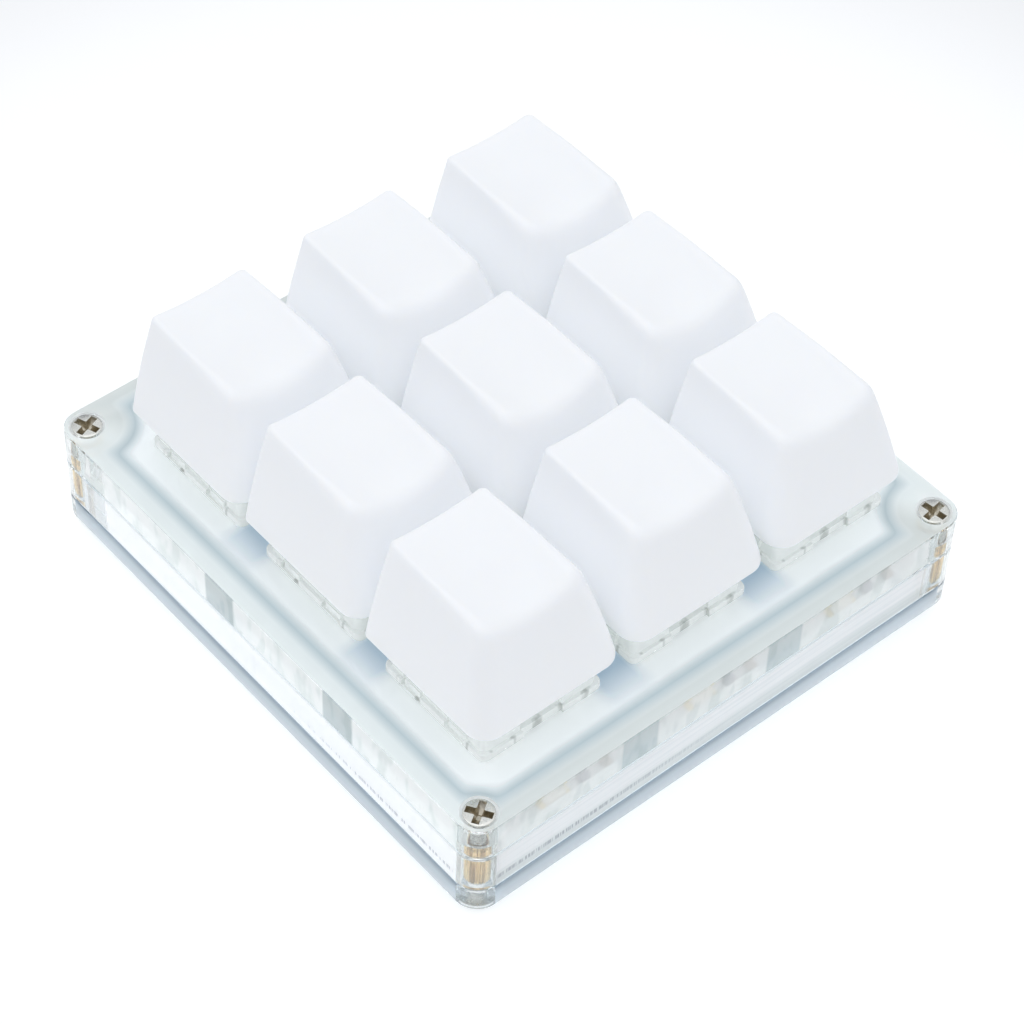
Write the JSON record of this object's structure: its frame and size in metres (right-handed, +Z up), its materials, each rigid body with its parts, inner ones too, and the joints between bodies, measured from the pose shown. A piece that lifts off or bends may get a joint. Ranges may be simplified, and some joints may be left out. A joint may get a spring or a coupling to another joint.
{
  "type": "numeric keypad",
  "caption": "Small square keypad with dished translucent blank keycaps on clip-in switches, in a layered clear case with corner screws.",
  "frame": {"origin": "middle of the case's outline, on the surface that the feet stand on", "axes": "+Z up, -Y towards the user, +Y towards the USB socket, +X to the user's right"},
  "size_m": [0.0654, 0.0686, 0.0306],
  "materials": {
    "milky_keycap": "fine matte, translucent",
    "stem_plastic": "moulded",
    "spring_wire": "drawn wire",
    "clear_housing": "clear moulded",
    "frosted_acrylic": "clear, frosted upper face",
    "clear_acrylic": "clear, machined inner wall",
    "tinted_acrylic": "clear, blue grey edge",
    "board": "white solder mask",
    "socket_steel": "satin",
    "chip_resin": "moulded resin",
    "foot_rubber": "clear soft rubber",
    "brass": "turned, knurled",
    "nickel": "nickel plated"
  },
  "bodies": {
    "case": {"top_cover": "frosted_acrylic", "middle_frame": "clear_acrylic", "bottom_plate": "tinted_acrylic", "circuit_board": "board", "usb_socket": "socket_steel", "controller_chip": "chip_resin", "foot_front_left": "foot_rubber", "standoff_front_left": "brass", "cover_screw_front_left": "nickel", "base_screw_front_left": "nickel", "foot_front_right": "foot_rubber", "standoff_front_right": "brass", "cover_screw_front_right": "nickel", "base_screw_front_right": "nickel", "foot_back_right": "foot_rubber", "standoff_back_right": "brass", "cover_screw_back_right": "nickel", "base_screw_back_right": "nickel", "foot_back_left": "foot_rubber", "standoff_back_left": "brass", "cover_screw_back_left": "nickel", "base_screw_back_left": "nickel", "switch_housing_1": "clear_housing", "switch_housing_2": "clear_housing", "switch_housing_3": "clear_housing", "switch_housing_4": "clear_housing", "switch_housing_5": "clear_housing", "switch_housing_6": "clear_housing", "switch_housing_7": "clear_housing", "switch_housing_8": "clear_housing", "switch_housing_9": "clear_housing"},
    "key_1": {"keycap_1": "milky_keycap", "stem_1": "stem_plastic", "spring_1": "spring_wire"},
    "key_2": {"keycap_2": "milky_keycap", "stem_2": "stem_plastic", "spring_2": "spring_wire"},
    "key_3": {"keycap_3": "milky_keycap", "stem_3": "stem_plastic", "spring_3": "spring_wire"},
    "key_4": {"keycap_4": "milky_keycap", "stem_4": "stem_plastic", "spring_4": "spring_wire"},
    "key_5": {"keycap_5": "milky_keycap", "stem_5": "stem_plastic", "spring_5": "spring_wire"},
    "key_6": {"keycap_6": "milky_keycap", "stem_6": "stem_plastic", "spring_6": "spring_wire"},
    "key_7": {"keycap_7": "milky_keycap", "stem_7": "stem_plastic", "spring_7": "spring_wire"},
    "key_8": {"keycap_8": "milky_keycap", "stem_8": "stem_plastic", "spring_8": "spring_wire"},
    "key_9": {"keycap_9": "milky_keycap", "stem_9": "stem_plastic", "spring_9": "spring_wire"}
  },
  "joints": [
    {"name": "key_1_press", "type": "slide", "parent": "case", "child": "key_1", "axis": [0, 0, -1], "range_m": [0, 0.004], "stiffness_N_per_m": 75, "springref_m": -0.004, "deforming": ["spring_1"]},
    {"name": "key_2_press", "type": "slide", "parent": "case", "child": "key_2", "axis": [0, 0, -1], "range_m": [0, 0.004], "stiffness_N_per_m": 75, "springref_m": -0.004, "deforming": ["spring_2"]},
    {"name": "key_3_press", "type": "slide", "parent": "case", "child": "key_3", "axis": [0, 0, -1], "range_m": [0, 0.004], "stiffness_N_per_m": 75, "springref_m": -0.004, "deforming": ["spring_3"]},
    {"name": "key_4_press", "type": "slide", "parent": "case", "child": "key_4", "axis": [0, 0, -1], "range_m": [0, 0.004], "stiffness_N_per_m": 75, "springref_m": -0.004, "deforming": ["spring_4"]},
    {"name": "key_5_press", "type": "slide", "parent": "case", "child": "key_5", "axis": [0, 0, -1], "range_m": [0, 0.004], "stiffness_N_per_m": 75, "springref_m": -0.004, "deforming": ["spring_5"]},
    {"name": "key_6_press", "type": "slide", "parent": "case", "child": "key_6", "axis": [0, 0, -1], "range_m": [0, 0.004], "stiffness_N_per_m": 75, "springref_m": -0.004, "deforming": ["spring_6"]},
    {"name": "key_7_press", "type": "slide", "parent": "case", "child": "key_7", "axis": [0, 0, -1], "range_m": [0, 0.004], "stiffness_N_per_m": 75, "springref_m": -0.004, "deforming": ["spring_7"]},
    {"name": "key_8_press", "type": "slide", "parent": "case", "child": "key_8", "axis": [0, 0, -1], "range_m": [0, 0.004], "stiffness_N_per_m": 75, "springref_m": -0.004, "deforming": ["spring_8"]},
    {"name": "key_9_press", "type": "slide", "parent": "case", "child": "key_9", "axis": [0, 0, -1], "range_m": [0, 0.004], "stiffness_N_per_m": 75, "springref_m": -0.004, "deforming": ["spring_9"]}
  ]
}
